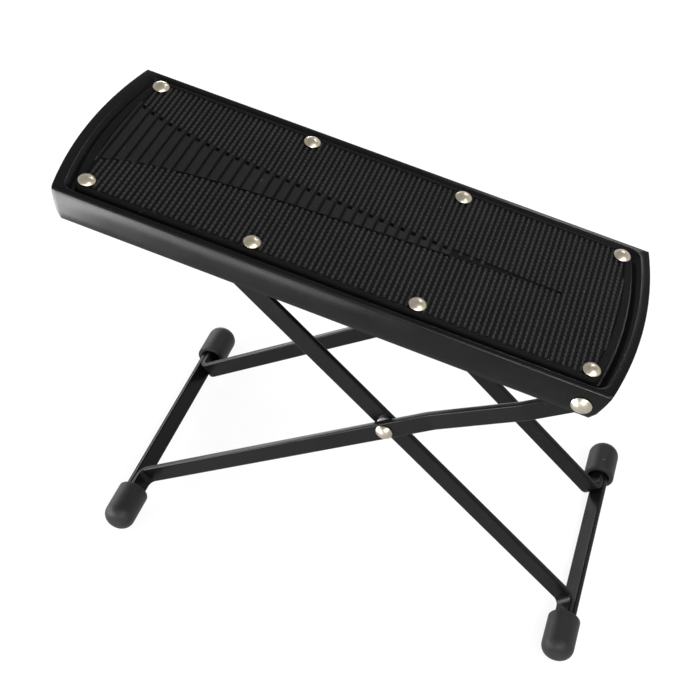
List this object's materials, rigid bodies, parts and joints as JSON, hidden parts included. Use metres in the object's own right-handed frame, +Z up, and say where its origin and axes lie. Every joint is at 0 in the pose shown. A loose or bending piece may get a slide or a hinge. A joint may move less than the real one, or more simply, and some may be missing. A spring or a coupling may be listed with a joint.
{
  "type": "guitar footrest",
  "caption": "Folding footrest for one foot: a long pressed steel tread with a ribbed rubber mat, on two crossed frames of flat bar with cylindrical rubber feet.",
  "frame": {"origin": "middle of the footprint, on the floor under the rubber feet", "axes": "+X along the tread towards its lower, hinged end, +Y across it, +Z up"},
  "size_m": [0.2782, 0.152, 0.2072],
  "materials": {
    "painted_steel": "satin black paint",
    "black_rubber": "matt moulded rubber",
    "nickel_plated_steel": "nickel plate, slightly warm"
  },
  "bodies": {
    "frame_a": {"leg_a_front": "painted_steel", "leg_a_back": "painted_steel", "crossbar_a": "painted_steel", "foot_a_front": "black_rubber", "foot_a_back": "black_rubber", "pivot_rivet_front": "nickel_plated_steel", "pivot_rivet_back": "nickel_plated_steel", "pivot_washer_front": "nickel_plated_steel", "pivot_washer_back": "nickel_plated_steel"},
    "frame_b": {"leg_b_front": "painted_steel", "leg_b_back": "painted_steel", "crossbar_b": "painted_steel", "foot_b_front": "black_rubber", "foot_b_back": "black_rubber", "latch_rod": "nickel_plated_steel"},
    "tread": {"hinge_rivet_front": "nickel_plated_steel", "hinge_rivet_back": "nickel_plated_steel", "tread_plate": "painted_steel", "rubber_mat": "black_rubber", "rack_front": "painted_steel", "rack_back": "painted_steel", "mat_rivet_front_1": "nickel_plated_steel", "mat_rivet_front_2": "nickel_plated_steel", "mat_rivet_front_3": "nickel_plated_steel", "mat_rivet_front_4": "nickel_plated_steel", "mat_rivet_back_1": "nickel_plated_steel", "mat_rivet_back_2": "nickel_plated_steel", "mat_rivet_back_3": "nickel_plated_steel", "mat_rivet_back_4": "nickel_plated_steel"}
  },
  "joints": [
    {"name": "leg_fold", "type": "hinge", "parent": "frame_a", "child": "frame_b", "pos_m": [0.02486, 0, 0.10335], "axis": [0, -1, 0], "range_deg": [0, 76]},
    {"name": "tread_fold", "type": "hinge", "parent": "frame_a", "child": "tread", "pos_m": [0.10862, 0, 0.16432], "axis": [0, -1, 0], "range_deg": [0, 34]}
  ],
  "couplings": [
    {"joint": "tread_fold", "follows": "leg_fold", "ratio": 0.446}
  ]
}
